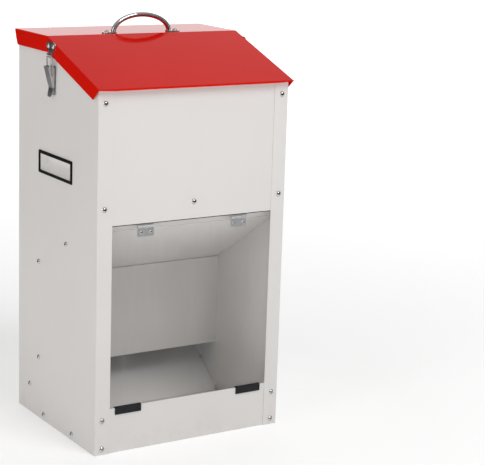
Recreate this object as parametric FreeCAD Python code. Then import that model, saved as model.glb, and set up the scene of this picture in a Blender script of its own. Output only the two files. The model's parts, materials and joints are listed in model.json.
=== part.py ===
import FreeCAD, Part
import math
import os

# Gravity game feeder: a sheet-steel hopper with a red folded lid, a feeding mouth
# low on the front, a clear swing flap, carrying grips and two toggle latches.
# Millimetres. +X is the feeder's right as seen from the front, +Y is its back,
# +Z is up. The origin is the middle of the footprint, on the floor.

V = FreeCAD.Vector
X_AXIS = V(1, 0, 0)
Y_AXIS = V(0, 1, 0)
Z_AXIS = V(0, 0, 1)

# ---------------------------------------------------------------- dimensions

BODY_W = 350.0
BODY_D = 295.0
SHEET = 1.2
BEND_R = 0.8
HALF_W = BODY_W / 2
FRONT = -BODY_D / 2
BACK = BODY_D / 2
INNER_X = HALF_W - SHEET
PANEL_HALF_W = INNER_X - 0.9
PANEL_TOP_GAP = 2.0

FRONT_FLANGE = 26.5
BACK_FLANGE = 20.0
PANEL_FRONT = FRONT + SHEET
PANEL_REAR = FRONT + 2 * SHEET
MOUTH_TOP = 378.0
LIP_TOP = 76.0

LID_TOP = 659.2
LID_HALF_W = 179.2
LID_BEND_Y = 28.0
LID_REAR_Y = 152.5
LID_EAVE_Y = -157.0
LID_SLOPE = math.radians(19.04)
LID_GAP = 1.0
SKIRT_DEPTH = 26.0
SLOPE_SKIRT_DEPTH = 23.5
EAVE_LIP_BOTTOM = 592.8
EAVE_BEND_R = 1.0
EAVE_LIP_TAPER = 28.0
SKIRT_TIP_Y = -135.5
SKIRT_RELIEF = ((152.5, 656.6), (151.0, 651.5), (148.0, 643.5), (143.0, 633.2))

BAFFLE_DROP = math.radians(32.0)
BAFFLE_FACE = -144.3
BAFFLE_BEND_Z = 378.5
BAFFLE_FLANGE_TOP = 413.0
THROTTLE_Y = 55.0
THROTTLE_BOTTOM = 92.0
THROTTLE_FLANGE = 20.0
THROTTLE_HEM = 10.0
THROTTLE_FLANGE_TOP = 250.0
THROTTLE_EAR_TOP = 288.0
BAFFLE_OVERHANG = 2.0
BAFFLE_FLANGE_RISE = 26.0
RAMP_TOP_Z = 79.0
RAMP_ANGLE = math.radians(38.0)
RAMP_FLANGE_Y = (82.0, 128.0)
RAMP_FLANGE_RISE = 16.0
RAMP_FOOT_Z = 2.2
RAMP_FOOT = 12.0
SIDE_FLANGE_H = 20.0

STRIP_SCREW_X = 162.5
STRIP_SCREW_Z = (572.5, 405.5, 58.0, 10.0)
BACK_SCREW_X = 165.0
BACK_SCREW_Z = (610.0, 410.0, 210.0, 10.0)
SIDE_SCREWS = {
    "baffle": ((-38.0, 328.0),),
    "throttle": ((65.5, 276.0), (64.4, 108.0)),
    "ramp": ((100.0, 50.0),),
    "pan": ((44.0, 10.6), (-64.0, 10.6)),
}
SCREW_R = 2.0
SCREW_HOLE_R = 2.1
HEAD_R = 4.8
HEAD_H = 3.0
NUT_R = 4.0
NUT_H = 3.2

GRIP_Y = 3.0
GRIP_Z = 449.0
GRIP_W = 124.0
GRIP_H = 38.0
GRIP_RIM = 5.1
GRIP_OUTER_R = 2.0
GRIP_INNER_R = 1.6
GRIP_RIM_T = 1.8
GRIP_DEPTH = 15.0
GRIP_BACK = 13.5
GRIP_WALL = 1.5

GUARD_X = (91.0, 138.5)
GUARD_BOTTOM = 65.0
GUARD_WALL = 1.6
LIP_HEM_GAP = 0.4
LIP_HEM = 9.0

FLAP_PIN = V(0, -144.7, 372.0)
FLAP_LEAN = 0.6
FLAP_T = 2.0
FLAP_HALF_W = 165.0
FLAP_TOP = 368.8
FLAP_BOTTOM = 68.0
FLAP_HINGE_X = 87.0
FLAP_LEAF_W = 30.0
FLAP_LEAF_T = 0.8
FLAP_KNUCKLE_R = 2.2
FLAP_PIN_R = 1.0
FLAP_SCREW_PITCH = 17.0
FLAP_SCREW_Z = 363.0
FLAP_RIVET_Z = 390.0
FLAP_RIVET_R = 1.4
FLAP_SCREW_BORE = 1.55
FLAP_LEAF_Z = (356.0, 399.0)
FLAP_CORNER_R = 8.0

LID_PIN_Y = 149.0
LID_PIN_Z = 655.2
LID_PIN_R = 1.2
LID_KNUCKLE_R = 2.2
LID_HINGE_HALF = 140.0
LID_KNUCKLES = 14
LEAF_T = 1.0
LEAF_RIVET_R = 1.6
LEAF_RIVET_COUNT = 6
LEAF_RIVET_EDGE = 9.0
LEAF_END = 15.0
BODY_LEAF_BOTTOM = 629.0
NOTCH_SLACK = 0.4
NOTCH_DROP = 3.0
NOTCH_REACH = 5.0
LID_LEAF_FRONT = 122.0

HANDLE_Y = 41.0
HANDLE_HALF = 52.5
HANDLE_TOP = 693.0
HANDLE_R = 4.0
HANDLE_SCREW_X = 64.5
FOOT_END_X = 73.0
FOOT_W = 12.0
FOOT_T = 2.2

LATCH_Y = 12.0
LATCH_PIVOT = V(-183.0, LATCH_Y, 609.0)
LATCH_PIVOT_R = 1.5
BAIL_PIVOT = V(-180.6, LATCH_Y, 598.0)
BAIL_R = 1.1
BAIL_HALF = 10.6
BAIL_TOP_Z = 626.9
BAIL_TOP_X = -182.4
LEVER_HALF = 8.2
LEVER_WALL_X = -177.0
LEVER_T = 1.0
LEVER_HEAD_R = 4.4
LEVER_CHEEK_Z = (0.9, -29.5)
# (outward or inward, up or down) from the pivot, along the web to the finger tab.
LEVER_WEB = ((-5.5, 2.7), (3.6, -31.5), (2.6, -39.0), (0.4, -46.0))
# (in from the full half width, up or down from the pivot), down one edge of the lever.
LEVER_EDGE = ((0.0, 6.0), (0.0, -24.0), (0.6, -31.0), (0.0, -37.0), (0.0, -42.0), (3.5, -46.5))
EAR_HALF = 6.9
EAR_EYE_R = 2.5
KEEPER_T = 1.2
KEEPER_HALF_W = 16.0
KEEPER_CORNER_R = 6.5
KEEPER_SHOULDER = 4.5
KEEPER_Z = (637.5, 651.0)
KEEPER_NECK_W = 13.0
HOOK_Z = 630.8
HOOK_R = 1.3
HOOK_T = 1.0
HOOK_LIP = 2.4
KEEPER_RIVET_R = 2.0
KEEPER_RIVET_Z = 644.5
KEEPER_RIVET_PITCH = 17.4
BASE_RIVET_R = 1.8
BASE_RIVET_Z = (587.0, 571.5)
BASE_HALF_W = 10.0
BASE_Z = (566.0, 613.0)
EAR_T = 1.0
RUNNING_GAP = 0.06


# ------------------------------------------------------------------- helpers

def box(x0, x1, y0, y1, z0, z1):
    return Part.makeBox(x1 - x0, y1 - y0, z1 - z0, V(x0, y0, z0))


def rod(start, direction, radius, length):
    return Part.makeCylinder(radius, length, start, direction)


def prism(points, travel):
    """A straight prism on a closed outline of vectors."""
    wire = Part.makePolygon(list(points) + [points[0]])
    return Part.Face(wire).extrude(travel)


def side_prism(outline, x0, x1):
    """A prism along X on an outline of (y, z) pairs."""
    return prism([V(x0, y, z) for y, z in outline], V(x1 - x0, 0, 0))


def fuse(shapes):
    joined = shapes[0]
    if len(shapes) > 1:
        joined = shapes[0].fuse(list(shapes[1:]))
    return joined.removeSplitter()


def mirrored(shape):
    return shape.mirror(V(0, 0, 0), X_AXIS)


def both_sides(shape):
    return [shape, mirrored(shape)]


def bent_sheet(path, thickness, radius, place, travel):
    """A sheet of the given thickness folded along an open path of (u, v) pairs.

    The path is the middle of the sheet. place turns (u, v) into a vector, and
    travel is the vector along which the folded section runs.
    """
    half = thickness / 2
    middle = radius + half
    left = []
    right = []

    def line(side, a, b):
        if math.dist(a, b) > 1e-6:
            side.append(Part.LineSegment(place(*a), place(*b)).toShape())

    def arc(side, a, m, b):
        side.append(Part.Arc(place(*a), place(*m), place(*b)).toShape())

    def offset(point, normal, amount):
        return (point[0] + normal[0] * amount, point[1] + normal[1] * amount)

    def unit(a, b):
        length = math.dist(a, b)
        return ((b[0] - a[0]) / length, (b[1] - a[1]) / length)

    here = path[0]
    start_left = None
    start_right = None
    for index in range(1, len(path)):
        corner = path[index]
        ahead = unit(path[index - 1], corner)
        normal = (-ahead[1], ahead[0])
        if start_left is None:
            start_left = offset(here, normal, half)
            start_right = offset(here, normal, -half)
        if index == len(path) - 1:
            line(left, offset(here, normal, half), offset(corner, normal, half))
            line(right, offset(here, normal, -half), offset(corner, normal, -half))
            end_left = offset(corner, normal, half)
            end_right = offset(corner, normal, -half)
            break
        after = unit(corner, path[index + 1])
        cross = ahead[0] * after[1] - ahead[1] * after[0]
        dot = ahead[0] * after[0] + ahead[1] * after[1]
        turn = math.atan2(abs(cross), dot)
        sign = 1 if cross > 0 else -1
        setback = middle * math.tan(turn / 2)
        bend_start = offset(corner, ahead, -setback)
        bend_end = offset(corner, after, setback)
        centre = offset(bend_start, normal, sign * middle)
        line(left, offset(here, normal, half), offset(bend_start, normal, half))
        line(right, offset(here, normal, -half), offset(bend_start, normal, -half))
        next_normal = (-after[1], after[0])
        towards = unit(centre, corner)
        for side, amount in ((left, half), (right, -half)):
            reach = middle - sign * amount
            arc(
                side,
                offset(bend_start, normal, amount),
                offset(centre, towards, reach),
                offset(bend_end, next_normal, amount),
            )
        here = bend_end
    caps = []
    line(caps, start_left, start_right)
    line(caps, end_left, end_right)
    wire = Part.Wire(Part.__sortEdges__(left + right + caps))
    return Part.Face(wire).extrude(travel)


def yz_sheet(path, x0, x1, thickness=SHEET, radius=BEND_R):
    return bent_sheet(path, thickness, radius, lambda y, z: V(x0, y, z), V(x1 - x0, 0, 0))


def xy_sheet(path, z0, z1, thickness=SHEET, radius=BEND_R):
    return bent_sheet(path, thickness, radius, lambda x, y: V(x, y, z0), V(0, 0, z1 - z0))


def aligned(shape, point, direction):
    """Move a shape modelled along +Z at the origin so that +Z runs along direction."""
    placed = shape.copy()
    placed.Placement = FreeCAD.Placement(point, FreeCAD.Rotation(Z_AXIS, direction))
    return placed


def dome(radius, height):
    """A low domed head standing on the XY plane."""
    sphere_r = (radius ** 2 + height ** 2) / (2 * height)
    ball = Part.makeSphere(sphere_r, V(0, 0, height - sphere_r))
    return ball.common(box(-radius, radius, -radius, radius, 0, height + 1))


def cross_recess(radius, height):
    """The two crossed slots of a driver recess in a domed head."""
    arm = radius * 0.52
    slot = radius * 0.12
    floor = height * 0.45
    lengthwise = box(-arm, arm, -slot, slot, floor, height + 1)
    crosswise = box(-slot, slot, -arm, arm, floor, height + 1)
    return lengthwise.fuse(crosswise)


def screw(point, outward, grip, head_r=HEAD_R, head_h=HEAD_H, shank_r=SCREW_R, nut_h=NUT_H):
    """A dome-head machine screw whose head sits at point, facing outward."""
    head = dome(head_r, head_h).cut(cross_recess(head_r, head_h))
    reach = grip + nut_h + 1.0
    shank = rod(V(0, 0, -reach), Z_AXIS, shank_r, reach)
    return aligned(fuse([head, shank]), point, outward)


def hex_nut(point, outward, grip, across=NUT_R, height=NUT_H, bore=SCREW_R):
    """A hexagon nut on the far side of the sheets that a screw clamps."""
    corners = [
        V(across * math.cos(math.radians(60 * k)), across * math.sin(math.radians(60 * k)), 0)
        for k in range(6)
    ]
    body = prism(corners, V(0, 0, -height))
    body = body.cut(rod(V(0, 0, -height - 1), Z_AXIS, bore + RUNNING_GAP, height + 2))
    return aligned(body, point - outward * grip, outward)


def rivet(point, outward, grip, head_r, head_h, shank_r, tail_r=None, tail_h=1.0):
    """A rivet with a domed head outside and a flatter formed head inside."""
    parts = [dome(head_r, head_h)] if head_h else []
    parts.append(rod(V(0, 0, -grip), Z_AXIS, shank_r, grip))
    if tail_r:
        parts.append(rod(V(0, 0, -grip - tail_h), Z_AXIS, tail_r, tail_h))
    return aligned(fuse(parts), point, outward)


def drill(shape, places, radius=SCREW_HOLE_R, depth=12.0):
    """Cut a round hole through a sheet at each (point, direction)."""
    cutters = [rod(p - d * depth / 2, d, radius, depth) for p, d in places]
    return shape.cut(cutters) if cutters else shape


def slope_z(y, below=0.0):
    """Height of the lid's sloping top at y, lowered at right angles to it."""
    return LID_TOP - (LID_BEND_Y - y) * math.tan(LID_SLOPE) - below / math.cos(LID_SLOPE)


# ------------------------------------------------------------- screw places

def front_screw_places():
    """Each front screw as (point on the outer face, outward direction, grip)."""
    places = []
    for z in STRIP_SCREW_Z:
        layers = 3 if abs(z - STRIP_SCREW_Z[1]) < 1 else 2
        for x in (-STRIP_SCREW_X, STRIP_SCREW_X):
            places.append((V(x, FRONT, z), V(0, -1, 0), layers * SHEET + layers_gap(layers)))
    places.append((V(0, PANEL_FRONT, STRIP_SCREW_Z[1]), V(0, -1, 0), 2 * SHEET + layers_gap(3)))
    return places


def layers_gap(layers):
    """The hinge leaf's thickness parts the front panel from the baffle flange."""
    return FLAP_LEAF_T if layers == 3 else 0.0


def side_screw_places(names=None):
    places = []
    for name, spots in SIDE_SCREWS.items():
        if names is None or name in names:
            places += [(V(-HALF_W, y, z), V(-1, 0, 0), 2 * SHEET) for y, z in spots]
    return places


def back_screw_places():
    places = []
    for z in BACK_SCREW_Z:
        layers = 3 if z < SIDE_FLANGE_H else 2
        for x in (-BACK_SCREW_X, BACK_SCREW_X):
            places.append((V(x, BACK, z), Y_AXIS, layers * SHEET))
    return places


def axes_of(places):
    return [(p, d) for p, d, _ in places]


def mirrored_axes(places):
    return [(V(-p.x, p.y, p.z), V(-d.x, d.y, d.z)) for p, d, _ in places]


# ---------------------------------------------------------------- body sheets

def body_top_outline(clearance, bottom):
    """The (y, z) outline of everything that fits under the lid."""
    drop = SHEET + clearance
    bend_y = LID_BEND_Y + drop * math.tan(LID_SLOPE / 2)
    return [
        (FRONT - 1, bottom),
        (BACK + 1, bottom),
        (BACK + 1, LID_TOP - drop),
        (bend_y, LID_TOP - drop),
        (FRONT - 1, slope_z(FRONT - 1, drop)),
    ]


def left_side_panel():
    """The left wall, folded round onto the front and the back."""
    half = SHEET / 2
    path = [
        (-HALF_W + FRONT_FLANGE, FRONT + half),
        (-HALF_W + half, FRONT + half),
        (-HALF_W + half, BACK - half),
        (-HALF_W + BACK_FLANGE, BACK - half),
    ]
    wall = xy_sheet(path, 0, LID_TOP)
    wall = wall.common(side_prism(body_top_outline(LID_GAP, 0), -HALF_W - 1, 0))
    wall = wall.cut(grip_block(GRIP_W - 2 * GRIP_RIM, GRIP_H - 2 * GRIP_RIM, -HALF_W - 1, -INNER_X + 1))
    wall = drill(wall, axes_of(side_screw_places()))
    wall = drill(wall, [(p, d) for p, d, _ in front_screw_places() if p.x < -1])
    wall = drill(wall, [(p, d) for p, d, _ in back_screw_places() if p.x < -1])
    return drill(wall, axes_of(latch_base_rivet_places()))


def upper_front_panel():
    """The flat closed upper front, held behind the two side walls' front strips."""
    mid = PANEL_FRONT + SHEET / 2
    top = slope_z(mid, SHEET + PANEL_TOP_GAP)
    panel = box(-PANEL_HALF_W, PANEL_HALF_W, PANEL_FRONT, PANEL_REAR, MOUTH_TOP, top)
    return drill(panel, [(p, d) for p, d, _ in front_screw_places() if p.z > MOUTH_TOP])


def back_panel():
    top = LID_PIN_Z - 0.7
    panel = box(-PANEL_HALF_W, PANEL_HALF_W, BACK - 2 * SHEET, BACK - SHEET, 0, top)
    panel = drill(panel, axes_of(back_screw_places()))
    return drill(panel, axes_of(body_leaf_rivet_places()), LEAF_RIVET_R)


def floor_pan():
    """Feeding tray floor, its front lip with a folded hem, and three low flanges."""
    half = SHEET / 2
    lip_y = PANEL_FRONT + half
    hem_y = lip_y + SHEET + LIP_HEM_GAP
    back_y = BACK - 2 * SHEET - half
    path = [
        (hem_y, LIP_TOP - LIP_HEM),
        (hem_y, LIP_TOP - half),
        (lip_y, LIP_TOP - half),
        (lip_y, half),
        (back_y, half),
        (back_y, SIDE_FLANGE_H),
    ]
    pan = yz_sheet(path, -PANEL_HALF_W, PANEL_HALF_W, radius=0.15)
    flange = box(-INNER_X, -INNER_X + SHEET, FRONT + 12, BACK - 12, 0, SIDE_FLANGE_H)
    pan = fuse([pan] + both_sides(flange))
    low_front = [(p, d) for p, d, _ in front_screw_places() if p.z < LIP_TOP]
    low_back = [(p, d) for p, d, _ in back_screw_places() if p.z < SIDE_FLANGE_H]
    spots = side_screw_places(("pan",))
    return drill(pan, low_front + low_back + axes_of(spots) + mirrored_axes(spots))


def hopper_baffle():
    """The sloping hopper floor that hangs behind the front panel's bottom edge."""
    mid = BAFFLE_FACE + SHEET / 2
    end_y = THROTTLE_Y + SHEET + BAFFLE_OVERHANG
    end_z = BAFFLE_BEND_Z - (end_y - mid) * math.tan(BAFFLE_DROP)
    path = [(mid, BAFFLE_FLANGE_TOP), (mid, BAFFLE_BEND_Z), (end_y, end_z)]
    slope = yz_sheet(path, -PANEL_HALF_W, PANEL_HALF_W)
    near_y = BAFFLE_FACE + 8
    far_y = THROTTLE_Y - 3

    def on_slope(y, above):
        return BAFFLE_BEND_Z - (y - mid) * math.tan(BAFFLE_DROP) + above

    outline = [
        (near_y, on_slope(near_y, 0)),
        (far_y, on_slope(far_y, 0)),
        (far_y, on_slope(far_y, BAFFLE_FLANGE_RISE)),
        (near_y, on_slope(near_y, BAFFLE_FLANGE_RISE)),
    ]
    flange = side_prism(outline, -INNER_X, -INNER_X + SHEET)
    baffle = fuse([slope] + both_sides(flange))
    panel_screws = [(p, d) for p, d, _ in front_screw_places() if abs(p.z - STRIP_SCREW_Z[1]) < 1]
    spots = side_screw_places(("baffle",))
    baffle = drill(baffle, panel_screws + axes_of(spots) + mirrored_axes(spots))
    return drill(baffle, axes_of(fixed_leaf_rivet_places()), FLAP_RIVET_R)


def throttle_plate():
    """The upright plate behind which the food drops; its flanges turn backwards."""
    slope_mid = BAFFLE_FACE + SHEET / 2
    run = THROTTLE_Y + SHEET - slope_mid
    top = BAFFLE_BEND_Z - run * math.tan(BAFFLE_DROP) - SHEET / math.cos(BAFFLE_DROP)
    plate = box(-PANEL_HALF_W, PANEL_HALF_W, THROTTLE_Y, THROTTLE_Y + SHEET, THROTTLE_BOTTOM, top)
    hem_y = THROTTLE_Y + 2 * SHEET
    hem_half = INNER_X - 6
    hem_top = THROTTLE_BOTTOM + THROTTLE_HEM
    hem = box(-hem_half, hem_half, THROTTLE_Y + SHEET, hem_y, THROTTLE_BOTTOM, hem_top)
    rear = THROTTLE_Y + THROTTLE_FLANGE
    wall = -INNER_X
    low = box(wall, wall + SHEET, THROTTLE_Y, rear, THROTTLE_BOTTOM, THROTTLE_FLANGE_TOP)
    ear_front = THROTTLE_Y + SHEET + BAFFLE_OVERHANG + 0.8
    ear = box(wall, wall + SHEET, ear_front, rear, THROTTLE_FLANGE_TOP - 5, THROTTLE_EAR_TOP)
    plate = fuse([plate, hem] + both_sides(low) + both_sides(ear))
    spots = side_screw_places(("throttle",))
    return drill(plate, axes_of(spots) + mirrored_axes(spots))


def ramp_z(y):
    return RAMP_TOP_Z - (BACK - 2 * SHEET - y) * math.tan(RAMP_ANGLE)


def feed_ramp():
    """The sloping floor under the chute, which throws the food forward."""
    wall_y = BACK - 2 * SHEET - SHEET / 2
    foot_y = wall_y - (RAMP_TOP_Z - RAMP_FOOT_Z) / math.tan(RAMP_ANGLE)
    path = [
        (wall_y, RAMP_TOP_Z + RAMP_FLANGE_RISE),
        (wall_y, RAMP_TOP_Z),
        (foot_y, RAMP_FOOT_Z),
        (foot_y - RAMP_FOOT, RAMP_FOOT_Z),
    ]
    ramp = yz_sheet(path, -INNER_X + 1.6, INNER_X - 1.6)
    near_y, far_y = RAMP_FLANGE_Y

    def side_strip(bottom, rise, width):
        outline = [
            (near_y, ramp_z(near_y) + bottom),
            (far_y, ramp_z(far_y) + bottom),
            (far_y, ramp_z(far_y) + rise),
            (near_y, ramp_z(near_y) + rise),
        ]
        return side_prism(outline, -INNER_X, -INNER_X + width)

    flange = side_strip(-0.2, RAMP_FLANGE_RISE, SHEET)
    web = side_strip(-0.2, 0.6, 2.5)
    ramp = fuse([ramp] + both_sides(flange) + both_sides(web))
    spots = side_screw_places(("ramp",))
    return drill(ramp, axes_of(spots) + mirrored_axes(spots))


# ---------------------------------------------------------------- grips, lip

def rounded_block(y0, y1, z0, z1, x0, x1, radius):
    """A block along X with its four long edges rounded."""
    block = box(x0, x1, y0, y1, z0, z1)
    edges = [e for e in block.Edges if abs(e.tangentAt(e.FirstParameter).x) > 0.9]
    return block.makeFillet(radius, edges)


def grip_block(width, height, x0, x1, radius=GRIP_INNER_R):
    return rounded_block(
        GRIP_Y - width / 2,
        GRIP_Y + width / 2,
        GRIP_Z - height / 2,
        GRIP_Z + height / 2,
        x0,
        x1,
        radius,
    )


def left_grip_trim():
    """The dark frame round the carrying grip, flat on the wall."""
    face = -HALF_W
    outer = grip_block(GRIP_W, GRIP_H, face - GRIP_RIM_T, face, GRIP_OUTER_R)
    inner = grip_block(GRIP_W - 2 * GRIP_RIM, GRIP_H - 2 * GRIP_RIM, face - 5, face + 5)
    edges = [e for e in outer.Edges if abs(e.CenterOfMass.x - (face - GRIP_RIM_T)) < 0.01]
    outer = outer.makeChamfer(0.7, edges)
    return outer.cut(inner)


def scoop(width, height, depth, back, x0):
    """The wedge of a hand pocket: deepest along its upper edge, running out at its lower."""
    low = GRIP_Z - height / 2
    high = GRIP_Z + height / 2
    corners = [(x0, low), (x0 + depth, high - back), (x0 + depth, high), (x0, high)]
    y0 = GRIP_Y - width / 2
    return prism([V(x, y0, z) for x, z in corners], V(0, width, 0))


def left_grip_pocket():
    """The hand pocket: a flange behind the wall and a closed scoop that slopes inward."""
    clear_w = GRIP_W - 2 * GRIP_RIM
    clear_h = GRIP_H - 2 * GRIP_RIM
    face = -INNER_X
    margin = 2 * GRIP_WALL
    flange = grip_block(GRIP_W + 6, GRIP_H + 6, face, face + GRIP_WALL, 5.0)
    deep = GRIP_DEPTH + GRIP_WALL
    shell = scoop(clear_w + margin, clear_h + margin, deep, GRIP_BACK + margin, face)
    window = grip_block(clear_w, clear_h, face - 1, face + 0.5)
    hollow = scoop(clear_w, clear_h, GRIP_DEPTH, GRIP_BACK, face)
    return fuse([flange, shell]).cut([window, hollow])


def lip_guard():
    """A rubber channel pushed over the lip, on the left of the mouth."""
    x0 = -GUARD_X[1]
    x1 = -GUARD_X[0]
    lip_rear = PANEL_FRONT + 2 * SHEET + LIP_HEM_GAP
    outer_front = PANEL_FRONT - GUARD_WALL
    outer_rear = lip_rear + GUARD_WALL
    block = box(x0, x1, outer_front, outer_rear, GUARD_BOTTOM, LIP_TOP + GUARD_WALL)
    edges = [
        e
        for e in block.Edges
        if abs(e.tangentAt(e.FirstParameter).x) > 0.9 and e.CenterOfMass.z > LIP_TOP
    ]
    block = block.makeFillet(1.4, edges)
    return block.cut(box(x0 - 1, x1 + 1, PANEL_FRONT, lip_rear, GUARD_BOTTOM - 1, LIP_TOP))


# ---------------------------------------------------------------- flap hinges

def knuckle(x0, x1, centre_y, centre_z, outer, bore):
    ring = rod(V(x0, centre_y, centre_z), X_AXIS, outer, x1 - x0)
    return ring.cut(rod(V(x0 - 1, centre_y, centre_z), X_AXIS, bore, x1 - x0 + 2))


def leaf_front():
    return FLAP_PIN.y - FLAP_LEAF_T / 2


def leaf_rear():
    return FLAP_PIN.y + FLAP_LEAF_T / 2


def knuckle_splits():
    """The X stretches of one hinge: outer knuckles, and the middle one."""
    third = FLAP_LEAF_W / 3
    left = FLAP_HINGE_X - FLAP_LEAF_W / 2
    outer = ((left, left + third - 0.9), (left + 2 * third + 0.9, left + FLAP_LEAF_W))
    middle = (left + third - 0.6, left + 2 * third + 0.6)
    return outer, middle


def fixed_leaf_rivet_places():
    places = []
    for side in (-1, 1):
        for step in (-1, 1):
            x = side * FLAP_HINGE_X + step * FLAP_SCREW_PITCH / 2
            places.append((V(x, leaf_front(), FLAP_RIVET_Z), V(0, -1, 0), FLAP_LEAF_T + SHEET))
    return places


def fixed_leaves():
    outer, middle = knuckle_splits()
    x0 = FLAP_HINGE_X - FLAP_LEAF_W / 2
    plate = box(x0, x0 + FLAP_LEAF_W, leaf_front(), leaf_rear(), FLAP_PIN.z, FLAP_LEAF_Z[1])
    clear = FLAP_KNUCKLE_R + 0.5
    plate = plate.cut(
        box(middle[0] - 0.3, middle[1] + 0.3, -150, -140, FLAP_PIN.z - 5, FLAP_PIN.z + clear)
    )
    plate = plate.cut(rod(V(x0 - 1, FLAP_PIN.y, FLAP_PIN.z), X_AXIS, FLAP_PIN_R, FLAP_LEAF_W + 2))
    rings = [
        knuckle(a, b, FLAP_PIN.y, FLAP_PIN.z, FLAP_KNUCKLE_R, FLAP_PIN_R) for a, b in outer
    ]
    leaf = fuse([plate] + rings)
    leaves = Part.makeCompound(both_sides(leaf))
    return drill(leaves, axes_of(fixed_leaf_rivet_places()), FLAP_RIVET_R)


def flap_pins():
    x0 = FLAP_HINGE_X - FLAP_LEAF_W / 2
    pin = rod(V(x0 - 0.6, FLAP_PIN.y, FLAP_PIN.z), X_AXIS, FLAP_PIN_R, FLAP_LEAF_W + 1.2)
    return Part.makeCompound(both_sides(pin))


def fixed_leaf_rivets():
    made = [rivet(p, d, g, 0, 0, FLAP_RIVET_R, 2.6, 1.0) for p, d, g in fixed_leaf_rivet_places()]
    return Part.makeCompound(made)


def lean(shape):
    """Swing a flap part from vertical to where the flap rests on the lip guards."""
    turned = shape.copy()
    turned.rotate(FLAP_PIN, X_AXIS, FLAP_LEAN)
    return turned


def flap_screw_places():
    places = []
    for side in (-1, 1):
        for step in (-1, 1):
            x = side * FLAP_HINGE_X + step * FLAP_SCREW_PITCH / 2
            places.append((V(x, leaf_front(), FLAP_SCREW_Z), V(0, -1, 0), FLAP_LEAF_T + FLAP_T))
    return places


def moving_leaves():
    _, middle = knuckle_splits()
    x0 = FLAP_HINGE_X - FLAP_LEAF_W / 2
    plate_top = FLAP_PIN.z - FLAP_KNUCKLE_R - 0.5
    plate = box(x0, x0 + FLAP_LEAF_W, leaf_front(), leaf_rear(), FLAP_LEAF_Z[0], plate_top)
    corners = [
        e
        for e in plate.Edges
        if abs(e.tangentAt(e.FirstParameter).y) > 0.9 and e.CenterOfMass.z < FLAP_LEAF_Z[0] + 1
    ]
    plate = plate.makeFillet(3.0, corners)
    neck = box(middle[0], middle[1], leaf_front(), leaf_rear(), plate_top - 1, FLAP_PIN.z)
    bore = FLAP_PIN_R + RUNNING_GAP
    neck = neck.cut(rod(V(x0 - 1, FLAP_PIN.y, FLAP_PIN.z), X_AXIS, bore, FLAP_LEAF_W + 2))
    ring = knuckle(middle[0], middle[1], FLAP_PIN.y, FLAP_PIN.z, FLAP_KNUCKLE_R, bore)
    leaf = fuse([plate, neck, ring])
    leaves = Part.makeCompound(both_sides(leaf))
    return lean(drill(leaves, axes_of(flap_screw_places()), FLAP_SCREW_BORE))


def flap_panel():
    """The clear flap, with its two lower corners rounded."""
    sheet = box(-FLAP_HALF_W, FLAP_HALF_W, leaf_rear(), leaf_rear() + FLAP_T, FLAP_BOTTOM, FLAP_TOP)
    corners = [
        e
        for e in sheet.Edges
        if abs(e.tangentAt(e.FirstParameter).y) > 0.9 and e.CenterOfMass.z < FLAP_BOTTOM + 1
    ]
    sheet = sheet.makeFillet(FLAP_CORNER_R, corners)
    return lean(drill(sheet, axes_of(flap_screw_places()), FLAP_SCREW_BORE))


def flap_screws():
    made = [screw(p, d, g, 3.0, 2.0, 1.5, 1.8) for p, d, g in flap_screw_places()]
    return lean(Part.makeCompound(made))


def flap_nuts():
    made = [hex_nut(p, d, g, 3.0, 1.8, 1.5) for p, d, g in flap_screw_places()]
    return lean(Part.makeCompound(made))


# ----------------------------------------------------------------- lid hinge

def leaf_rivet_xs():
    reach = LID_HINGE_HALF - LEAF_END
    pitch = 2 * reach / (LEAF_RIVET_COUNT - 1)
    return [-reach + k * pitch for k in range(LEAF_RIVET_COUNT)]


def body_leaf_rivet_places():
    rear = BACK - SHEET + LEAF_T
    z = BODY_LEAF_BOTTOM + LEAF_RIVET_EDGE
    return [(V(x, rear, z), Y_AXIS, LEAF_T + SHEET) for x in leaf_rivet_xs()]


def lid_leaf_rivet_places():
    y = LID_LEAF_FRONT + LEAF_RIVET_EDGE
    return [(V(x, y, LID_TOP), Z_AXIS, SHEET + LEAF_T) for x in leaf_rivet_xs()]


def lid_knuckle_spans():
    """X stretches of the knuckles: those of the body leaf, then those of the lid leaf."""
    pitch = 2 * LID_HINGE_HALF / LID_KNUCKLES
    spans = [
        (-LID_HINGE_HALF + k * pitch + 0.2, -LID_HINGE_HALF + (k + 1) * pitch - 0.2)
        for k in range(LID_KNUCKLES)
    ]
    return spans[0::2], spans[1::2]


def lid_hinge_body_leaf():
    body_spans, lid_spans = lid_knuckle_spans()
    front = BACK - SHEET
    plate = box(-LID_HINGE_HALF, LID_HINGE_HALF, front, front + LEAF_T, BODY_LEAF_BOTTOM, LID_PIN_Z)
    low = LID_PIN_Z - NOTCH_DROP
    high = LID_PIN_Z + NOTCH_REACH
    notches = [
        box(a - NOTCH_SLACK, b + NOTCH_SLACK, front - 1, front + 4, low, high)
        for a, b in lid_spans
    ]
    plate = plate.cut(notches)
    rings = [knuckle(a, b, LID_PIN_Y, LID_PIN_Z, LID_KNUCKLE_R, LID_PIN_R) for a, b in body_spans]
    return drill(fuse([plate] + rings), axes_of(body_leaf_rivet_places()), LEAF_RIVET_R)


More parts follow.
